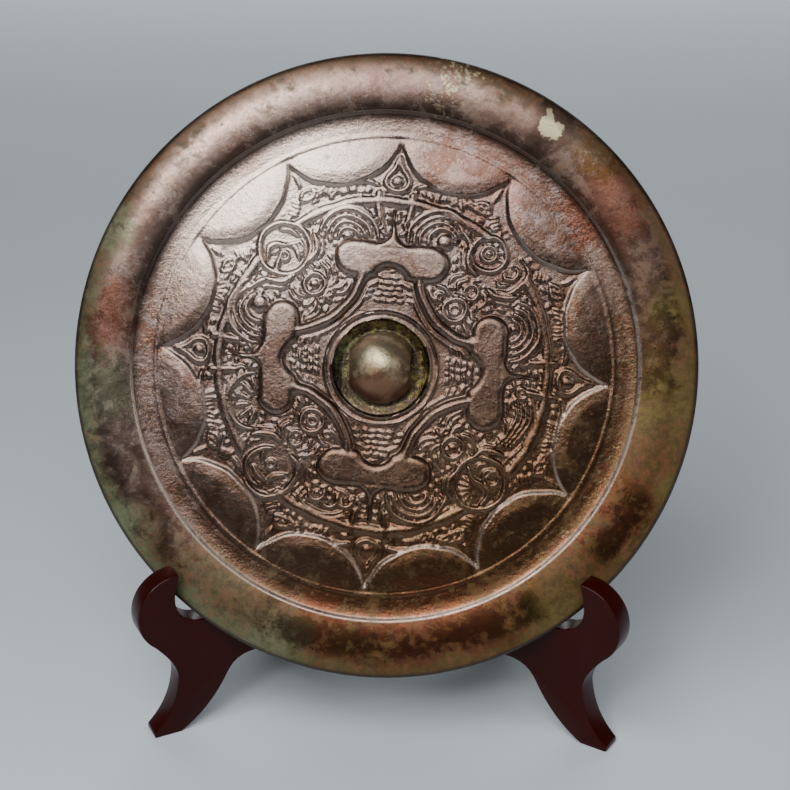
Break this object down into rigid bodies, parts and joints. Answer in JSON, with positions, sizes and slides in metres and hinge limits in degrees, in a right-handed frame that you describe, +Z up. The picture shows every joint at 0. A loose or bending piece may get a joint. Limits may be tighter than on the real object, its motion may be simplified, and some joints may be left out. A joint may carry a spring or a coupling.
{
  "type": "ancient bronze mirror",
  "caption": "Round cast bronze mirror with a domed rim, a pointed star, a leaf band and a pierced knob, leaning in a dark wooden stand of crossed boards",
  "frame": {"origin": "On the floor, under the middle of the bounding box of mirror and stand", "axes": "+Z is up and the longest extent, +Y points from the cast side of the mirror to its back and is the shortest extent, +X is to the right for someone who faces the cast side"},
  "size_m": [0.2, 0.0792, 0.2104],
  "materials": {
    "bronze": "old cast bronze, purplish brown with a soft silvery sheen and olive green patina",
    "dark_wood": "hardwood under a dark maroon gloss lacquer"
  },
  "bodies": {
    "root": {"mirror": "bronze", "stand_board_left": "dark_wood", "stand_board_right": "dark_wood"}
  },
  "joints": []
}
